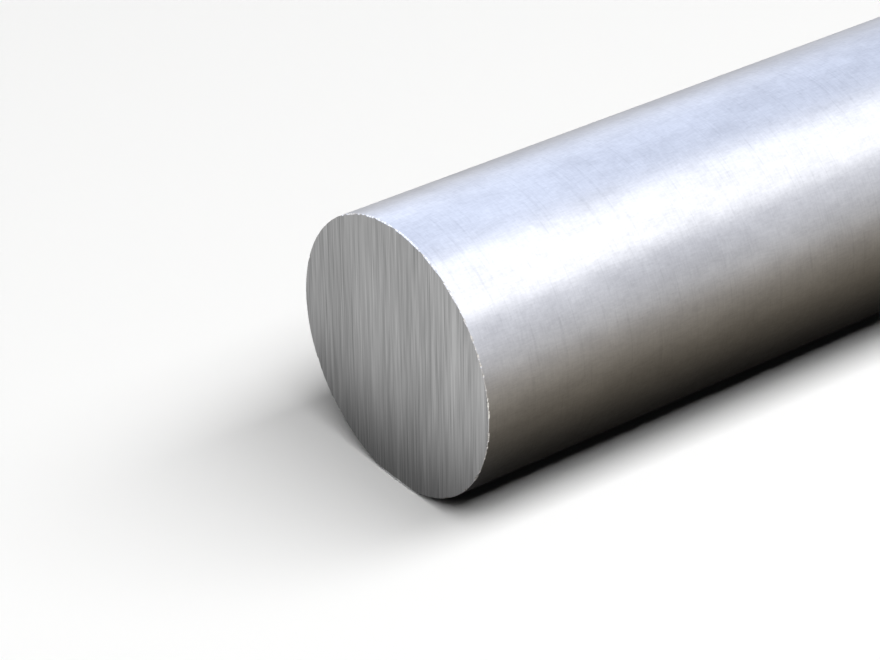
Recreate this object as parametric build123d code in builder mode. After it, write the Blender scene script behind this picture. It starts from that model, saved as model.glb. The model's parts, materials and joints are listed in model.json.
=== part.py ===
"""Round metal bar: one sawn length of bright-finished round stock, lying on its side.

Millimetres. +X runs along the bar, +Z is up, and the origin is on the floor under the middle of the bar.
"""

import os

from build123d import *

# Driving dimensions
bar_diameter = 50.0  # across the finished round
bar_length = 500.0  # between the two sawn ends
edge_break = 0.3  # leg of the 45 degree edge left when the saw burr is filed off

# Worked out
bar_radius = bar_diameter / 2

# The sawn end that faces -X. The bar rests on the floor, so its axis is one radius up.
first_end = Plane(
    origin=(-bar_length / 2, 0, bar_radius),
    x_dir=(0, 1, 0),
    z_dir=(1, 0, 0),
)

with BuildPart() as round_bar:
    # The round section, carried along the whole length
    with BuildSketch(first_end):
        Circle(bar_radius)
    extrude(amount=bar_length)

    # Both sawn ends have their sharp rim broken
    sawn_ends = round_bar.faces().filter_by(Axis.X)
    chamfer(sawn_ends.edges(), length=edge_break)

round_bar.part.label = "round_bar"

os.makedirs("parts", exist_ok=True)
export_step(round_bar.part, "parts/round_bar.step")
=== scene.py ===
"""A length of bright round steel bar on a pale studio floor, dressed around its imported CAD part.

The file is laid out as an add-on. Each operator makes one thing: the bar with its ground side, its sawn
ends and their filed rims, and the studio around it. Lengths are in metres, in the frame of the CAD
part: +X runs along the bar and +Z is up.
"""

import json
import math

import bpy
import numpy as np
from bpy.props import FloatProperty, FloatVectorProperty, IntProperty, PointerProperty
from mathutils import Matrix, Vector


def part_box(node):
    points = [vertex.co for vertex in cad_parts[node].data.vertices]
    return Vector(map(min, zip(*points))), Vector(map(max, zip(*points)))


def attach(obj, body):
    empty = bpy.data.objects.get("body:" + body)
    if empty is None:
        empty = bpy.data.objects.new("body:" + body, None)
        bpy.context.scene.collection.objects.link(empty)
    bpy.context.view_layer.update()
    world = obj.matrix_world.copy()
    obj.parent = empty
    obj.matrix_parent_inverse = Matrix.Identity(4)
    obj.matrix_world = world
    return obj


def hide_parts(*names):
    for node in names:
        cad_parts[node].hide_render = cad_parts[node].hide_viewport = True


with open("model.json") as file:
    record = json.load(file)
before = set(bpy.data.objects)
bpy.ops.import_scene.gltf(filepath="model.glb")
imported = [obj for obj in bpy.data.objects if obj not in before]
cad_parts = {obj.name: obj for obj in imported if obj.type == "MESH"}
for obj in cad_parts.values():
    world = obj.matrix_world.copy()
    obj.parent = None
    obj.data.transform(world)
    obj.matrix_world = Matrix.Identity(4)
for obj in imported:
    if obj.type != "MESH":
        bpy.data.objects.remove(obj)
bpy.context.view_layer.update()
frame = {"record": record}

bl_info = {
    "name": "Round Bar",
    "version": (1, 0, 0),
    "blender": (4, 5, 0),
    "location": "3D View > Sidebar > Round Bar",
    "description": "A sawn length of ground round steel bar, with its studio",
    "category": "Object",
}

NODE = "round_bar"
BODY = "root"

# The exporter keeps a map of this name, so the bar's own layout is the one that its finish is baked on.
BAR_MAP = "OFBake"

# Where the bar is: its two end planes from the CAD node, and its radius and axis from the record's mount.
NEAR_X, FAR_X = (corner.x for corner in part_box(NODE))
OUTSIDE = next(mount for mount in frame["record"]["mounts"] if mount["name"] == "bar_outside")
RADIUS = OUTSIDE["dims"]["r_mm"] / 1000
AXIS_Z = OUTSIDE["pos_m"][2]

# Seeds of the random draws, for the near end and for the far one.
RIM_SEEDS = (11, 21)
STROKE_SEEDS = (31, 41)

# The random heights of smooth_noise repeat after this many cells.
LATTICE = 256

# The cards lie this far over the floor.
CARD_HEIGHT = 0.0005

WHITE = (1.0, 1.0, 1.0, 1.0)


# ----------------------------------------------------------------------------------------------------
# Sizes and colours that a user may change
# ----------------------------------------------------------------------------------------------------


class BarShape(bpy.types.PropertyGroup):
    """Sizes of the bar's fine relief and of its mesh."""

    rim_break: FloatProperty(
        name="Broken rim",
        description="Widest leg of the edge that the file leaves round each sawn end",
        default=0.00022,
        min=0.00005,
        max=0.001,
        precision=5,
        unit="LENGTH",
    )
    rim_least: FloatProperty(
        name="Narrowest rim",
        description="Leg of the broken edge where the file hardly touched it",
        default=0.00004,
        min=0.00001,
        max=0.001,
        precision=5,
        unit="LENGTH",
    )
    stroke_depth: FloatProperty(
        name="Saw stroke depth",
        description="How deep the deepest upright stroke lies in a sawn face",
        default=0.00002,
        min=0.0,
        max=0.0003,
        precision=5,
        unit="LENGTH",
    )
    out_of_square: FloatVectorProperty(
        name="Out of square",
        description="How far the near sawn face leans along the bar, for each metre along Y and along Z",
        size=2,
        default=(-0.0121, -0.0150),
        min=-0.05,
        max=0.05,
        precision=4,
    )
    segments: IntProperty(
        name="Segments",
        description="Faces round the bar, in fours",
        default=1024,
        min=64,
        max=1600,
        step=4,
    )
    rings: IntProperty(name="Rings", description="Faces along the bar", default=28, min=1, max=200)
    stroke_rows: IntProperty(
        name="Stroke rows",
        description="Faces from the bottom of a sawn face to its top",
        default=40,
        min=4,
        max=200,
    )


class BarFinish(bpy.types.PropertyGroup):
    """Colours and gloss of the steel."""

    dark_steel: FloatVectorProperty(
        name="Dark steel",
        description="Colour of the steel in the marks of grinding",
        default=(0.53, 0.53, 0.535),
        subtype="COLOR",
        min=0.0,
        max=1.0,
    )
    bright_steel: FloatVectorProperty(
        name="Bright steel",
        description="Colour of the steel between the marks of grinding",
        default=(0.76, 0.76, 0.76),
        subtype="COLOR",
        min=0.0,
        max=1.0,
    )
    sawn_dark: FloatVectorProperty(
        name="Sawn steel, dark strokes",
        description="Colour of the deep strokes of a sawn face",
        default=(0.38, 0.38, 0.38),
        subtype="COLOR",
        min=0.0,
        max=1.0,
    )
    sawn_bright: FloatVectorProperty(
        name="Sawn steel, bright strokes",
        description="Colour of the high strokes of a sawn face",
        default=(0.65, 0.65, 0.65),
        subtype="COLOR",
        min=0.0,
        max=1.0,
    )
    rim_steel: FloatVectorProperty(
        name="Filed rim",
        description="Colour of the broken edge",
        default=(0.90, 0.87, 0.81),
        subtype="COLOR",
        min=0.0,
        max=1.0,
    )
    ground_roughness: FloatProperty(
        name="Ground roughness",
        description="Mean roughness of the ground side",
        default=0.34,
        min=0.05,
        max=1.0,
        subtype="FACTOR",
    )
    sawn_roughness: FloatProperty(
        name="Sawn roughness",
        description="Mean roughness of a sawn face",
        default=0.46,
        min=0.05,
        max=1.0,
        subtype="FACTOR",
    )


class Studio(bpy.types.PropertyGroup):
    """The floor, the lamps and the camera."""

    floor_colour: FloatVectorProperty(
        name="Floor",
        description="Colour of the floor",
        default=(0.96, 0.96, 0.955),
        subtype="COLOR",
        min=0.0,
        max=1.0,
    )
    floor_size: FloatProperty(
        name="Floor size",
        description="Side of the square floor",
        default=60.0,
        min=1.0,
        unit="LENGTH",
    )
    ambient: FloatProperty(
        name="Ambient light",
        description="Brightness of the studio's walls as they light the floor, where 1 is white",
        default=0.012,
        min=0.0,
        max=2.0,
    )
    softbox: FloatProperty(
        name="Softbox",
        description="Brightness of the long lamp that the metal shows as a pale band, where 1 is white",
        default=0.66,
        min=0.0,
        max=20.0,
    )
    strip: FloatProperty(
        name="Strip",
        description="Brightness of the narrow lamp behind the bar that the metal shows as a faint streak",
        default=0.20,
        min=0.0,
        max=20.0,
    )
    key: FloatProperty(
        name="Key",
        description="Brightness of the lamp that lights the floor from over the bar, where 1 is white",
        default=4.95,
        min=0.0,
        max=20.0,
    )
    camera_distance: FloatProperty(
        name="Camera distance",
        description="From the camera to its aim",
        default=0.53218,
        min=0.05,
        unit="LENGTH",
    )
    camera_turn: FloatProperty(
        name="Camera turn",
        description="Turn of the camera round the bar, from square on to its side towards the near end",
        default=math.radians(37.0633),
        subtype="ANGLE",
    )
    camera_rise: FloatProperty(
        name="Camera rise",
        description="Height of the camera above the horizon, as an angle",
        default=math.radians(31.9047),
        subtype="ANGLE",
    )
    camera_lens: FloatProperty(
        name="Lens",
        description="Focal length",
        default=130.16,
        min=10.0,
        max=400.0,
        subtype="DISTANCE_CAMERA",
    )


# ----------------------------------------------------------------------------------------------------
# Surfaces
# ----------------------------------------------------------------------------------------------------


def smooth_noise(across, along, seed):
    """Numbers from 0 to 1 that change smoothly: a random height at each whole (across, along) of a square
    lattice, and between them the blend of the four heights around, with weights t * t * (3 - 2 * t)."""
    heights = np.random.default_rng(seed).random((LATTICE + 1, LATTICE + 1))
    cell_across, cell_along = np.floor(across).astype(int), np.floor(along).astype(int)
    part_across, part_along = across - cell_across, along - cell_along
    ease_across = part_across * part_across * (3 - 2 * part_across)
    ease_along = part_along * part_along * (3 - 2 * part_along)
    left, right = cell_across % LATTICE, (cell_across + 1) % LATTICE
    low, high = cell_along % LATTICE, (cell_along + 1) % LATTICE
    bottom = heights[left, low] * (1 - ease_across) + heights[right, low] * ease_across
    top = heights[left, high] * (1 - ease_across) + heights[right, high] * ease_across
    return bottom * (1 - ease_along) + top * ease_along


def saw_strokes(y, z, depth, seed):
    """How far each point of a sawn face lies under its plane. The strokes run upright: three layers of
    noise whose cells are 1.7, 0.8 and 0.45 mm wide and many times as tall, added in shares of 5, 3 and
    2 tenths of the depth."""
    layers = ((0.0017, 0.030, 0.5), (0.0008, 0.018, 0.3), (0.00045, 0.010, 0.2))
    first_cell = 100
    return depth * sum(
        share * smooth_noise(y / width + first_cell, z / height + first_cell, seed + turn)
        for turn, (width, height, share) in enumerate(layers)
    )


def broken_rim(angle, least, most, seed):
    """Leg of the filed edge at each angle. Noise in cells of 1 mm round the rim, with a finer layer of
    0.5 mm cells, is raised by up to 0.3 near 100 degrees, and lowered by 0.3 away from the front and
    the top. The leg is least where that is under 0.4, and most where it is over 0.6, so that the file
    left dashes, and a line near the top."""
    round_rim = 2 * math.pi * RADIUS
    part = angle / (2 * math.pi)
    wide = smooth_wrap(part, round(round_rim / 0.0010), seed)
    fine = smooth_wrap(part, round(round_rim / 0.0005), seed + 1)
    near_top = 0.3 * np.clip(np.cos(angle - math.radians(100)), 0, 1) ** 6
    away = 0.3 * np.clip(1 - 2 * np.cos(angle - math.radians(140)), 0, 1)
    share = np.clip((0.5 * wide + 0.5 * fine + near_top - away - 0.4) / 0.2, 0, 1)
    return least + (most - least) * share * share * (3 - 2 * share)


def smooth_wrap(part, cells, seed):
    """Smooth noise round a closed line, where part runs from 0 to 1: a random height at each of the
    cells, and between two the same blend as in smooth_noise."""
    heights = np.random.default_rng(seed).random(cells)
    place = part * cells
    cell = np.floor(place).astype(int)
    ease = place - cell
    ease = ease * ease * (3 - 2 * ease)
    return heights[cell % cells] * (1 - ease) + heights[(cell + 1) % cells] * ease


def near_lean(shape, y, z):
    """How far inside the bar's true end the near sawn face lies: a plane that leans by out_of_square
    and touches the true end in one point of the rim."""
    lean_y, lean_z = shape.out_of_square
    return RADIUS * math.hypot(lean_y, lean_z) + lean_y * y + lean_z * (z - AXIS_Z)


def side_surface(shape, rims):
    """The ground side: a circle of the bar's radius, carried along straight lines from the outer line of one
    broken rim to that of the other. Returns points as rings x segments x 3."""
    angle = 2 * math.pi * np.arange(shape.segments) / shape.segments
    part = np.linspace(0, 1, shape.rings + 1)[:, None]
    y, z = RADIUS * np.cos(angle), AXIS_Z + RADIUS * np.sin(angle)
    start, stop = NEAR_X + near_lean(shape, y, z) + rims[0], FAR_X - rims[1]
    along = start * (1 - part) + stop * part
    y, z = np.broadcast_to(y, along.shape), np.broadcast_to(z, along.shape)
    return np.stack([along, y, z], 2)


def sawn_surface(shape, rim, end_x, inwards, seed):
    """A sawn face: upright chords of the circle, one between each point of the rim's upper half and the
    point right under it, cut into equal rows. Each point is sunk by saw_strokes, and at the near end by
    near_lean. Returns points as columns x rows x 3."""
    columns = shape.segments // 2
    number = np.arange(columns + 1)
    angle = 2 * math.pi * number / shape.segments
    over, under = RADIUS - rim[number % shape.segments], RADIUS - rim[-number % shape.segments]
    up = np.linspace(0, 1, shape.stroke_rows + 1)[None, :]
    y_over, y_under = (over * np.cos(angle))[:, None], (under * np.cos(angle))[:, None]
    z_over, z_under = (over * np.sin(angle))[:, None], (-under * np.sin(angle))[:, None]
    y = y_under * (1 - up) + y_over * up
    z = AXIS_Z + z_under * (1 - up) + z_over * up
    # The two outermost chords are single points
    y[0], z[0] = over[0], AXIS_Z
    y[-1], z[-1] = -over[-1], AXIS_Z
    depth = saw_strokes(y, z, shape.stroke_depth, seed)
    if end_x == NEAR_X:
        depth = depth + near_lean(shape, y, z)
    return np.stack([end_x + inwards * depth, y, z], 2)


def quads(first, second, third, fourth):
    """Faces from four whole arrays of corner numbers."""
    return np.stack([first, second, third, fourth], -1).reshape(-1, 4)


def bar_faces(shape):
    """Corner numbers of every face, outwards, as (quads, triangles, zone of each quad, zone of each
    triangle). The points come in the order side, near face, far face. A zone is 0 for the side, 1 for
    the near end's face, 2 for the far end's, and 3 and 4 for their rims."""
    segments, rows = shape.segments, shape.stroke_rows
    columns = segments // 2
    side = np.arange((shape.rings + 1) * segments).reshape(shape.rings + 1, segments)
    turned = np.roll(side, -1, 1)
    made = [(quads(side[:-1], turned[:-1], turned[1:], side[1:]), 0)]
    tips = []
    for end in (0, 1):
        # The outermost columns are one point each, and the rest hold rows + 1 points
        start = side.size + end * (2 + (columns - 1) * (rows + 1))
        face = np.empty((columns + 1, rows + 1), int)
        face[0], face[-1] = start, start + 1
        face[1:-1] = start + 2 + np.arange((columns - 1) * (rows + 1)).reshape(columns - 1, rows + 1)
        inner = quads(face[1:-2, :-1], face[1:-2, 1:], face[2:-1, 1:], face[2:-1, :-1])
        first_tip = np.stack([face[0, :-1], face[1, 1:], face[1, :-1]], 1)
        last_tip = np.stack([face[-2, :-1], face[-2, 1:], face[-1, :-1]], 1)
        rim = np.concatenate([face[:, -1], face[-2:0:-1, 0]])
        if end == 0:
            inner, first_tip, last_tip = inner[:, ::-1], first_tip[:, ::-1], last_tip[:, ::-1]
            edge = quads(rim, np.roll(rim, -1), turned[0], side[0])
        else:
            edge = quads(side[-1], turned[-1], np.roll(rim, -1), rim)
        made += [(inner, 1 + end), (edge, 3 + end)]
        tips.append((np.concatenate([first_tip, last_tip]), 1 + end))
    four = np.concatenate([faces for faces, zone in made])
    three = np.concatenate([faces for faces, zone in tips])
    zones = [np.concatenate([np.full(len(faces), zone) for faces, zone in group]) for group in (made, tips)]
    return four, three, *zones


def kept_points(face):
    """The points of a sawn face in the order that bar_faces counts them: its two outermost ones, then
    the rest."""
    return np.concatenate([face[:1, 0], face[-1:, 0], face[1:-1].reshape(-1, 3)])


def bar_layout(shape, points, faces, zones):
    """Map coordinates of each corner of each face. The side is unrolled across the lower part of the
    map, from the line where the bar rests. Each sawn face with its rim is seen square on, in an ellipse
    above it."""
    side_share, face_middle, face_high, face_wide = 0.60, 0.805, 0.185, 0.235
    corner = points[faces]
    zone = zones[:, None]
    spin = np.arctan2(corner[..., 2] - AXIS_Z, corner[..., 1])
    # Turned so that 0 and 1 are the two sides of the seam, at the bottom of the bar
    turn = (spin / (2 * math.pi) + 0.25) % 1
    seam = (turn.max(1) - turn.min(1) > 0.5)[:, None]
    turn = np.where(seam & (turn < 0.5), turn + 1, turn)
    along = (corner[..., 0] - NEAR_X) / (FAR_X - NEAR_X)
    side_map = np.stack([along, side_share * (1 - turn)], -1)
    near_end = (zone == 1) | (zone == 3)
    across = corner[..., 1] / RADIUS * np.where(near_end, -1, 1)
    up = (corner[..., 2] - AXIS_Z) / RADIUS
    middle = np.where(near_end, 0.25, 0.75)
    end_map = np.stack([middle + face_wide * across, face_middle + face_high * up], -1)
    return np.where((zone == 0)[..., None], side_map, end_map)


def bar_mesh(shape, materials):
    """The bar as one closed mesh: the side, both sawn faces and both broken rims."""
    angle = 2 * math.pi * np.arange(shape.segments) / shape.segments
    rims = [broken_rim(angle, shape.rim_least, shape.rim_break, seed) for seed in RIM_SEEDS]
    side = side_surface(shape, rims)
    near = sawn_surface(shape, rims[0], NEAR_X, 1, STROKE_SEEDS[0])
    far = sawn_surface(shape, rims[1], FAR_X, -1, STROKE_SEEDS[1])
    points = np.concatenate([side.reshape(-1, 3), kept_points(near), kept_points(far)])
    four, three, four_zones, three_zones = bar_faces(shape)

    mesh = bpy.data.meshes.new("round_bar_dressed")
    mesh.from_pydata(points, [], four.tolist() + three.tolist())
    for material in materials:
        mesh.materials.append(material)
    zones = np.concatenate([four_zones, three_zones])
    # The side is ground, both faces are sawn, and both rims are filed
    finish_of_zone = np.array([0, 1, 1, 2, 2])
    mesh.polygons.foreach_set("material_index", finish_of_zone[zones])
    mesh.shade_smooth()
    mesh.set_sharp_from_angle(angle=math.radians(20))
    layout = mesh.uv_layers.new(name=BAR_MAP)
    corners = [
        bar_layout(shape, points, faces, of).reshape(-1, 2)
        for faces, of in ((four, four_zones), (three, three_zones))
    ]
    layout.uv.foreach_set("vector", np.concatenate(corners).astype(np.float32).ravel())
    mesh.validate()
    return mesh


# ----------------------------------------------------------------------------------------------------
# Materials
# ----------------------------------------------------------------------------------------------------


def add_node(tree, kind, inputs=None, **settings):
    """One node. Its settings are its own options, and its inputs are numbers or the outputs of other
    nodes."""
    made = tree.nodes.new("ShaderNode" + kind)
    for name, value in settings.items():
        setattr(made, name, value)
    for name, value in (inputs or {}).items():
        socket = made.inputs[name]
        if isinstance(value, bpy.types.NodeSocket):
            tree.links.new(value, socket)
        else:
            socket.default_value = value
    return made


def calculate(tree, operation, first, second=0.0, third=0.0):
    """The output of a Math node."""
    return add_node(tree, "Math", {0: first, 1: second, 2: third}, operation=operation).outputs[0]


def calculate_vector(tree, operation, first, second=(0.0, 0.0, 0.0)):
    """The output of a Vector Math node: a number for LENGTH, and a vector for the other operations."""
    made = add_node(tree, "VectorMath", {0: first, 1: second}, operation=operation)
    return made.outputs["Value" if operation == "LENGTH" else "Vector"]


def stretched_noise(tree, place, cells, detail=2.0):
    """Noise whose cells measure cells along X, Y and Z, in metres."""
    scaled = add_node(tree, "Mapping", {"Vector": place, "Scale": tuple(1 / size for size in cells)})
    inputs = {"Vector": scaled.outputs[0], "Scale": 1.0, "Detail": detail, "Roughness": 0.55}
    return add_node(tree, "TexNoise", inputs).outputs[0]


def spread(tree, value, low, high):
    """The value from low to high stretched to 0 to 1, and cut off there."""
    inputs = {"Value": value, "From Min": low, "From Max": high}
    return add_node(tree, "MapRange", inputs, clamp=True).outputs[0]


def blend_colours(tree, factor, first, second):
    """A colour between first and second."""
    mixed = add_node(tree, "Mix", {0: factor, 6: opaque(first), 7: opaque(second)}, data_type="RGBA")
    return mixed.outputs[2]


def opaque(colour):
    """A colour with its alpha, or the output of a node as it is."""
    return colour if isinstance(colour, bpy.types.NodeSocket) else (*colour, 1.0)


def new_material(name):
    """An empty node material, its tree and its object coordinates."""
    material = bpy.data.materials.new(name)
    material.use_nodes = True
    tree = material.node_tree
    tree.nodes.clear()
    place = add_node(tree, "TexCoord").outputs["Object"]
    return material, tree, place


def finish_metal(tree, colour, roughness, normal, anisotropy):
    """Ends a material with a metal shader, whose gloss is drawn out along the first direction of the
    bar's map: along the bar on its side, and level on its ends. Both are square to the marks of the
    tool."""
    direction = add_node(tree, "Tangent", direction_type="UV_MAP", uv_map=BAR_MAP)
    inputs = {
        "Base Color": colour,
        "Metallic": 1.0,
        "Roughness": roughness,
        "Anisotropic": anisotropy,
        "Normal": normal,
        "Tangent": direction.outputs[0],
    }
    shader = add_node(tree, "BsdfPrincipled", inputs)
    add_node(tree, "OutputMaterial", {"Surface": shader.outputs[0]})


def weigh(tree, *layers):
    """0.5 plus each layer's difference from 0.5 times its weight."""
    total = 0.5
    for layer, weight in layers:
        lowered = calculate(tree, "SUBTRACT", total, weight / 2)
        total = calculate(tree, "MULTIPLY_ADD", layer, weight, lowered)
    return total


def soft_patch(tree, place, along, turn, reach):
    """1 in the middle of a patch of the side, and fading to 0 at its reach along X, Y and Z. The middle
    lies that far from the near end, at that angle from the top towards the front."""
    middle = (NEAR_X + along, -RADIUS * math.sin(turn), AXIS_Z + RADIUS * math.cos(turn))
    off = calculate_vector(tree, "SUBTRACT", place, middle)
    far = calculate_vector(tree, "LENGTH", calculate_vector(tree, "DIVIDE", off, reach))
    inputs = {"Value": far, "From Min": 0.0, "From Max": 1.0, "To Min": 1.0, "To Max": 0.0}
    return add_node(tree, "MapRange", inputs, interpolation_type="SMOOTHSTEP").outputs[0]


def ground_steel(finish):
    """The side as it leaves the grinder: short fine marks run round the bar and along it, with a few longer
    ones round it, a fine mottle, and wide faint clouds. A pale patch near the near end, close to the top,
    is a painted highlight, and a long dull patch in front, along the lower edge of the softbox's band, is
    painted shade."""
    material, tree, place = new_material("ground_steel")
    round_marks = stretched_noise(tree, place, (0.00034, 0.0018, 0.0018))
    along_marks = stretched_noise(tree, place, (0.0015, 0.00030, 0.00030))
    long_marks = spread(tree, stretched_noise(tree, place, (0.00050, 0.020, 0.020), detail=1.0), 0.60, 0.72)
    mottle = stretched_noise(tree, place, (0.00080, 0.00060, 0.00060))
    patches = stretched_noise(tree, place, (0.0050, 0.0024, 0.0024))
    clouds = stretched_noise(tree, place, (0.018, 0.0065, 0.0065))
    # Painted light: the pale patch is a painted highlight near the near end, and the dull patch is painted
    # shade along the lower edge of the softbox's band.
    pale = soft_patch(tree, place, 0.0245, math.radians(8), (0.015, 0.009, 0.009))
    dull = soft_patch(tree, place, 0.046, math.radians(52), (0.036, 0.009, 0.009))
    fine = weigh(tree, (round_marks, 0.5), (along_marks, 0.6), (mottle, 0.45))
    wide = weigh(tree, (patches, 0.6), (clouds, 0.9), (pale, 0.24), (dull, -0.20))
    shade = weigh(tree, (fine, 1.0), (wide, 1.0), (long_marks, -0.16))
    colour = blend_colours(tree, spread(tree, shade, 0.0, 1.0), finish.dark_steel, finish.bright_steel)
    roughness = calculate(tree, "MULTIPLY_ADD", fine, -0.08, finish.ground_roughness + 0.04)
    height = weigh(tree, (fine, 1.0), (patches, 1.0), (clouds, 2.5))
    bump = add_node(tree, "Bump", {"Height": height, "Distance": 0.000005, "Strength": 1.0})
    finish_metal(tree, colour, roughness, bump.outputs[0], 0.6)
    return material


def upright_strokes(tree, place, width, length):
    """Strokes that stand side by side, each of that width, and whose shade changes over that length.
    Each stroke takes its own line of the noise, and starts at a random place on it."""
    line_spacing = 7.31
    way = add_node(tree, "SeparateXYZ", {0: place})
    stroke = calculate(tree, "FLOOR", calculate(tree, "DIVIDE", way.outputs["Y"], width))
    chance = add_node(tree, "TexWhiteNoise", {"W": stroke}, noise_dimensions="1D").outputs["Value"]
    up = calculate(tree, "ADD", chance, calculate(tree, "DIVIDE", way.outputs["Z"], length))
    spot = add_node(tree, "CombineXYZ", {"X": calculate(tree, "MULTIPLY", stroke, line_spacing), "Y": up})
    inputs = {"Vector": spot.outputs[0], "Scale": 1.0, "Detail": 1.0, "Roughness": 0.6}
    return add_node(tree, "TexNoise", inputs).outputs[0]


def sawn_steel(finish):
    """A sawn face: straight upright strokes of several widths, each of them darker or brighter than the
    next."""
    material, tree, place = new_material("sawn_steel")
    thin = upright_strokes(tree, place, 0.00027, 0.014)
    middling = upright_strokes(tree, place, 0.00041, 0.022)
    broad = upright_strokes(tree, place, 0.00083, 0.060)
    bands = stretched_noise(tree, place, (1.0, 0.0045, 0.060), detail=1.0)
    strokes = weigh(tree, (thin, 1.5), (middling, 1.2), (broad, 0.6))
    shade = weigh(tree, (strokes, 1.0), (bands, 0.5))
    colour = blend_colours(tree, spread(tree, shade, 0.0, 1.0), finish.sawn_dark, finish.sawn_bright)
    roughness = calculate(tree, "MULTIPLY_ADD", shade, -0.10, finish.sawn_roughness + 0.05)
    bump = add_node(tree, "Bump", {"Height": strokes, "Distance": 0.000004, "Strength": 1.0})
    finish_metal(tree, colour, roughness, bump.outputs[0], 0.7)
    return material


def filed_steel(finish):
    """The broken rim: bright where the file ran, and duller in the nicks that it left."""
    material, tree, place = new_material("filed_steel")
    nicks = stretched_noise(tree, place, (0.0004, 0.0004, 0.0004))
    shade = spread(tree, nicks, 0.35, 0.6)
    dull = tuple(0.6 * part for part in finish.rim_steel)
    colour = blend_colours(tree, shade, dull, finish.rim_steel)
    roughness = calculate(tree, "MULTIPLY_ADD", shade, -0.15, 0.4)
    bump = add_node(tree, "Bump", {"Height": nicks, "Distance": 0.00001, "Strength": 1.0})
    finish_metal(tree, colour, roughness, bump.outputs[0], 0.0)
    return material


# ----------------------------------------------------------------------------------------------------
# Studio
# ----------------------------------------------------------------------------------------------------


def pale_rays(tree):
    """1 for the rays that show the studio's pale walls and floor: from the camera, and in metal or glass."""
    ray = add_node(tree, "LightPath")
    shown = calculate(tree, "MAXIMUM", ray.outputs["Is Camera Ray"], ray.outputs["Is Glossy Ray"])
    return calculate(tree, "MAXIMUM", shown, ray.outputs["Is Transmission Ray"])


def straight_rays(tree):
    """1 for the rays that haven't met the floor before, and 0 for light that the bar would throw back
    on it."""
    return calculate(tree, "LESS_THAN", add_node(tree, "LightPath").outputs["Diffuse Depth"], 0.5)


def stage_sheet(name, edges, height, material):
    """A flat rectangle of the stage at that height. The edges are its least and greatest x, then y."""
    left, right, low, high = edges
    corners = [(left, low, height), (right, low, height), (right, high, height), (left, high, height)]
    mesh = bpy.data.meshes.new(name)
    mesh.from_pydata(corners, [], [(0, 1, 2, 3)])
    mesh.materials.append(material)
    made = bpy.data.objects.new(name, mesh)
    bpy.context.scene.collection.objects.link(made)
    return made


def make_floor(studio):
    """A plain pale floor under the bar. Near the bar it is lit by the lamps and holds the shadow.
    Farther out it turns to plain white, as a floor that is lit all over would look."""
    material, tree, place = new_material("pale_floor")
    material.cycles.emission_sampling = "NONE"
    near = add_node(tree, "BsdfDiffuse", {"Color": opaque(studio.floor_colour)})
    far = add_node(tree, "Emission", {"Color": WHITE, "Strength": 1.0})
    # X counts half in the distance, because the bar lies along it
    distance = calculate_vector(tree, "LENGTH", calculate_vector(tree, "MULTIPLY", place, (0.5, 1.0, 0.0)))
    share = calculate(tree, "MULTIPLY", spread(tree, distance, 0.22, 0.6), pale_rays(tree))
    both = add_node(tree, "MixShader", {0: share, 1: near.outputs[0], 2: far.outputs[0]})
    add_node(tree, "OutputMaterial", {"Surface": both.outputs[0]})
    half = studio.floor_size / 2
    stage_sheet("floor", (-half, half, -half, half), 0.0, material)


def make_card(name, steps, edges, fades):
    """A graded card that lies just over the floor, glows with its colour, and is seen only by the metal:
    a painted reflection of the floor and its shadow. Its colour runs through the steps as one coordinate
    goes from start to stop, and it grows darker along the other to least times as bright. The fades are
    (axis, start, stop) and (axis, start, stop, least)."""
    material, tree, place = new_material(name)
    material.cycles.emission_sampling = "NONE"
    way = add_node(tree, "SeparateXYZ", {0: place})
    (axis, start, stop), (other_axis, other_start, other_stop, least) = fades
    grade = add_node(tree, "ValToRGB", {"Fac": spread(tree, way.outputs[axis], start, stop)})
    grade.color_ramp.interpolation = "B_SPLINE"
    while len(grade.color_ramp.elements) < len(steps):
        grade.color_ramp.elements.new(0.5)
    for element, (position, colour) in zip(grade.color_ramp.elements, steps):
        element.position, element.color = position, opaque(colour)
    fade = spread(tree, way.outputs[other_axis], other_start, other_stop)
    strength = calculate(tree, "MULTIPLY_ADD", fade, least - 1.0, 1.0)
    strength = calculate(tree, "MULTIPLY", strength, straight_rays(tree))
    shader = add_node(tree, "Emission", {"Color": grade.outputs[0], "Strength": strength})
    add_node(tree, "OutputMaterial", {"Surface": shader.outputs[0]})
    card = stage_sheet(name, edges, CARD_HEIGHT, material)
    card.visible_camera = card.visible_diffuse = card.visible_shadow = card.visible_transmission = False


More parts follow.
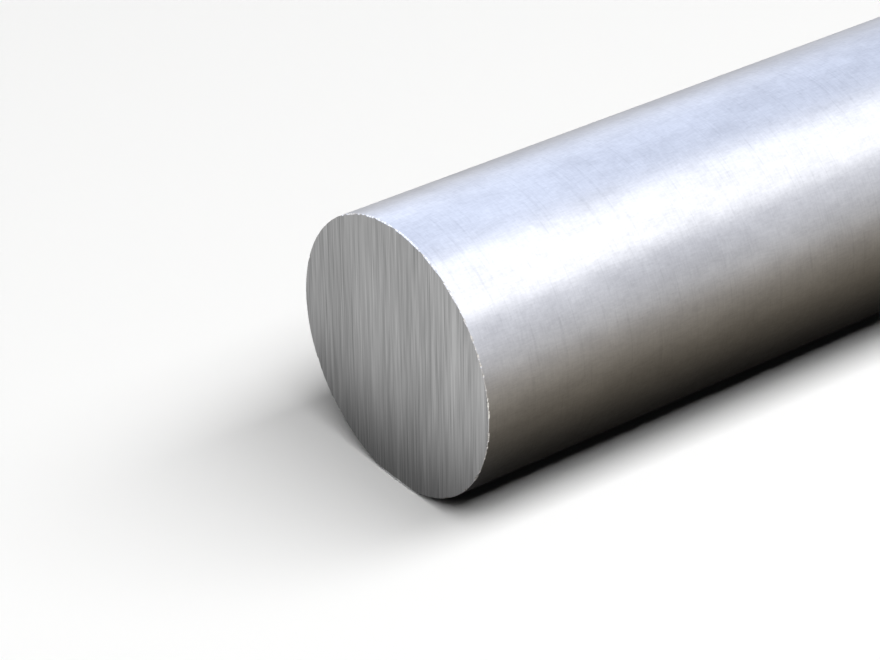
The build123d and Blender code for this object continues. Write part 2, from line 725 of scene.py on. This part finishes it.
def make_cards(shape):
    """Three cards that the metal sees in place of the floor: beside the bar, before its near end, and
    behind it. They meet where the near face stands on the floor. They are painted reflections: dark near
    the bar, where they stand in for the floor's shadow as painted shade, and brighter farther out. Each
    has its steps as (part of the way, colour)."""
    # Painted shade: the side card is black at the bar's foot and warm grey farther out, so the bar's lower
    # side mirrors a painted shadow.
    side_steps = (
        (0.0, (0.0, 0.0, 0.0)),
        (0.03, (0.003, 0.003, 0.003)),
        (0.065, (0.020, 0.018, 0.016)),
        (0.10, (0.080, 0.070, 0.055)),
        (0.15, (0.168, 0.146, 0.116)),
        (0.25, (0.290, 0.262, 0.220)),
        (0.45, (0.415, 0.384, 0.345)),
        (1.0, (0.530, 0.500, 0.480)),
    )
    # Painted reflection: the end card runs from grey at the near face's foot to brighter than white farther
    # out, a glowing sheet that the sawn face mirrors as a shadowed and then a lit floor.
    end_steps = (
        (0.0, (0.18, 0.18, 0.18)),
        (0.10, (0.23, 0.23, 0.23)),
        (0.25, (0.45, 0.45, 0.45)),
        (0.45, (0.98, 0.98, 0.98)),
        (0.75, (1.60, 1.60, 1.60)),
        (1.0, (2.10, 2.10, 2.10)),
    )
    # Painted shade: the rear card is near black at the bar's foot and grey farther out.
    rear_steps = (
        (0.0, (0.02, 0.02, 0.02)),
        (0.12, (0.20, 0.20, 0.20)),
        (0.35, (0.51, 0.51, 0.515)),
        (1.0, (0.66, 0.66, 0.68)),
    )
    foot, past_bar, before_bar, reach = NEAR_X + near_lean(shape, 0.0, 0.0), FAR_X + 1.2, NEAR_X - 1.0, 1.6
    # Each card's second fade is painted shade too: the side and rear cards darken along the bar, and the end
    # card towards the back.
    side_fades = (("Y", -0.005, -0.305), ("X", NEAR_X, NEAR_X + 0.3, 0.75))
    end_fades = (("X", NEAR_X, NEAR_X - 0.065), ("Y", -0.03, 0.13, 0.36))
    rear_fades = (("Y", 0.005, 0.305), ("X", NEAR_X, NEAR_X + 0.3, 0.85))
    make_card("side_card", side_steps, (foot, past_bar, -reach, 0.0), side_fades)
    make_card("end_card", end_steps, (before_bar, foot, -reach, reach), end_fades)
    make_card("rear_card", rear_steps, (foot, past_bar, 0.0, reach), rear_fades)


def make_lamp(name, brightness, place, wide, high, in_metal):
    """A rectangular lamp of that brightness, where 1 is white, aimed level with its place on the bar's
    axis. Only the metal sees it if in_metal is set, and only the floor if not. A lamp's watts are pi
    times its area for each unit of brightness."""
    lamp = bpy.data.lights.new(name, "AREA")
    lamp.shape = "RECTANGLE"
    lamp.size, lamp.size_y = wide, high
    lamp.energy = brightness * math.pi * wide * high
    made = bpy.data.objects.new(name, lamp)
    bpy.context.scene.collection.objects.link(made)
    made.location = place
    aim = Vector((place[0], 0.0, AXIS_Z))
    made.rotation_euler = (aim - Vector(place)).to_track_quat("-Z", "Y").to_euler()
    made.visible_camera = False
    made.visible_glossy, made.visible_diffuse = in_metal, not in_metal


def make_lamps(studio):
    """The long softbox and the strip that the metal shows, and the key that lights the floor. Under the
    key hangs a dimmer skirt, which makes the edge of the shadow soft."""
    over_x, floor_x = NEAR_X + 0.8, NEAR_X + 0.3
    skirt = 0.65 * studio.key
    make_lamp("softbox", studio.softbox, (over_x, -0.37, 0.95), 2.2, 0.93, in_metal=True)
    make_lamp("strip", studio.strip, (over_x, 0.91, 0.44), 2.0, 0.24, in_metal=True)
    make_lamp("key", studio.key, (floor_x, -0.641, 1.964), 4.8, 0.836, in_metal=False)
    make_lamp("key_skirt", skirt, (floor_x, -1.186, 1.687), 4.8, 0.409, in_metal=False)


def make_world(studio):
    """The studio's pale walls. Seen straight or in the metal they are a soft gradient: cool and bright
    behind the bar, neutral and lower in front of it, and lower again towards its far end. They light
    the floor at the ambient level."""
    world = bpy.data.worlds.new("studio_walls")
    bpy.context.scene.world = world
    world.use_nodes = True
    tree = world.node_tree
    tree.nodes.clear()
    way = add_node(tree, "SeparateXYZ", {0: add_node(tree, "TexCoord").outputs["Generated"]})
    behind = spread(tree, way.outputs["Y"], -0.25, 0.25)
    back_rise, front_rise = (spread(tree, way.outputs["Z"], 0.0, top) for top in (0.35, 0.6))
    back = blend_colours(tree, back_rise, (0.75, 0.75, 0.77), (1.01, 1.11, 1.38))
    front = blend_colours(tree, front_rise, (0.56, 0.55, 0.55), (1.05, 1.08, 1.20))
    fade = calculate(tree, "MULTIPLY_ADD", spread(tree, way.outputs["X"], 0.35, 0.75), -0.64, 1.28)
    walls = blend_colours(tree, behind, front, back)
    seen = add_node(tree, "Background", {"Color": walls, "Strength": fade})
    light = add_node(tree, "Background", {"Color": WHITE, "Strength": studio.ambient})
    shows = calculate(tree, "MULTIPLY", pale_rays(tree), straight_rays(tree))
    both = add_node(tree, "MixShader", {0: shows, 1: light.outputs[0], 2: seen.outputs[0]})
    add_node(tree, "OutputWorld", {"Surface": both.outputs[0]})


def make_camera(studio):
    """The camera, aimed a little inside the near end and a little behind the bar's axis, at its height."""
    inside, behind = 0.01159, 0.00226
    camera = bpy.data.cameras.new("camera")
    camera.lens = studio.camera_lens
    camera.sensor_width = 36.0
    camera.clip_start, camera.clip_end = 0.01, 100.0
    made = bpy.data.objects.new("camera", camera)
    bpy.context.scene.collection.objects.link(made)
    turn, rise = studio.camera_turn, studio.camera_rise
    away = Vector((-math.sin(turn) * math.cos(rise), -math.cos(turn) * math.cos(rise), math.sin(rise)))
    made.location = Vector((NEAR_X + inside, behind, AXIS_Z)) + studio.camera_distance * away
    made.rotation_euler = (math.pi / 2 - rise, 0.0, -turn)
    bpy.context.scene.camera = made


# ----------------------------------------------------------------------------------------------------
# Operators, panel and registration
# ----------------------------------------------------------------------------------------------------


class BAR_OT_make_bar(bpy.types.Operator):
    """Make the bar with its ground side, its sawn ends and their filed rims"""

    bl_idname = "bar.make_bar"
    bl_label = "Make Bar"

    def execute(self, context):
        finish = context.scene.bar_finish
        materials = [ground_steel(finish), sawn_steel(finish), filed_steel(finish)]
        bar = bpy.data.objects.new("bar", bar_mesh(context.scene.bar_shape, materials))
        context.scene.collection.objects.link(bar)
        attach(bar, BODY)
        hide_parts(NODE)
        return {"FINISHED"}


class BAR_OT_make_studio(bpy.types.Operator):
    """Make the floor, the cards, the lamps, the walls and the camera"""

    bl_idname = "bar.make_studio"
    bl_label = "Make Studio"

    def execute(self, context):
        studio = context.scene.bar_studio
        make_floor(studio)
        make_cards(context.scene.bar_shape)
        make_world(studio)
        make_lamps(studio)
        make_camera(studio)
        context.scene.view_settings.view_transform = "Standard"
        return {"FINISHED"}


class BAR_PT_panel(bpy.types.Panel):
    """The bar's operators and settings"""

    bl_idname = "BAR_PT_panel"
    bl_label = "Round Bar"
    bl_space_type = "VIEW_3D"
    bl_region_type = "UI"
    bl_category = "Round Bar"

    def draw(self, context):
        column = self.layout.column()
        sections = (("bar.make_bar", ("bar_shape", "bar_finish")), ("bar.make_studio", ("bar_studio",)))
        for operator, groups in sections:
            column.operator(operator)
            for group in groups:
                values = getattr(context.scene, group)
                for name in values.__annotations__:
                    column.prop(values, name)


CLASSES = (BarShape, BarFinish, Studio, BAR_OT_make_bar, BAR_OT_make_studio, BAR_PT_panel)
SETTINGS = {"bar_shape": BarShape, "bar_finish": BarFinish, "bar_studio": Studio}


def register():
    for made in CLASSES:
        bpy.utils.register_class(made)
    for name, group in SETTINGS.items():
        setattr(bpy.types.Scene, name, PointerProperty(type=group))


def unregister():
    for name in SETTINGS:
        delattr(bpy.types.Scene, name)
    for made in reversed(CLASSES):
        bpy.utils.unregister_class(made)


def main():
    register()
    bpy.ops.bar.make_bar()
    bpy.ops.bar.make_studio()


if __name__ == "__main__":
    main()
